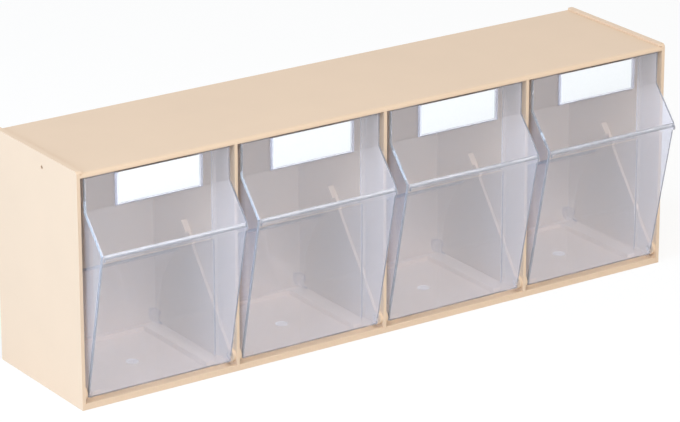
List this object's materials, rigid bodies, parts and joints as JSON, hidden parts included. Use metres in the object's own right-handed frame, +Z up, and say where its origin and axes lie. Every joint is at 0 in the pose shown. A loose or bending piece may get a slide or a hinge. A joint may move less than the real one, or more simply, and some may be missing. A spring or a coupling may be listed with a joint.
{
  "type": "tilt-out bin unit",
  "caption": "Storage unit with a row of clear bins that tilt out of an open-fronted carcase, each with a label card above its sloping nose.",
  "frame": {"origin": "on the ground under the middle of the whole unit, the bins' noses included", "axes": "+X along the row of bins to the right, +Y from the front to the back, +Z up"},
  "size_m": [0.6, 0.162, 0.2064],
  "materials": {
    "housing": "fine satin moulded",
    "clear_bin": "clear moulded",
    "clear_holder": "clear moulded",
    "label_card": "smooth card"
  },
  "bodies": {
    "carcase": {"top_panel": "housing", "floor_panel": "housing", "back_panel": "housing", "end_panel_left": "housing", "end_panel_right": "housing", "divider_1": "housing", "divider_2": "housing", "divider_3": "housing"},
    "bin_1": {"bin_1": "clear_bin", "label_holder_1": "clear_holder", "label_card_1": "label_card"},
    "bin_2": {"bin_2": "clear_bin", "label_holder_2": "clear_holder", "label_card_2": "label_card"},
    "bin_3": {"bin_3": "clear_bin", "label_holder_3": "clear_holder", "label_card_3": "label_card"},
    "bin_4": {"bin_4": "clear_bin", "label_holder_4": "clear_holder", "label_card_4": "label_card"}
  },
  "joints": [
    {"name": "bin_1_tilt", "type": "hinge", "parent": "carcase", "child": "bin_1", "pos_m": [-0.22373, -0.046, 0.013], "axis": [1, 0, 0], "range_deg": [0, 50]},
    {"name": "bin_2_tilt", "type": "hinge", "parent": "carcase", "child": "bin_2", "pos_m": [-0.07458, -0.046, 0.013], "axis": [1, 0, 0], "range_deg": [0, 50]},
    {"name": "bin_3_tilt", "type": "hinge", "parent": "carcase", "child": "bin_3", "pos_m": [0.07458, -0.046, 0.013], "axis": [1, 0, 0], "range_deg": [0, 50]},
    {"name": "bin_4_tilt", "type": "hinge", "parent": "carcase", "child": "bin_4", "pos_m": [0.22373, -0.046, 0.013], "axis": [1, 0, 0], "range_deg": [0, 50]}
  ]
}
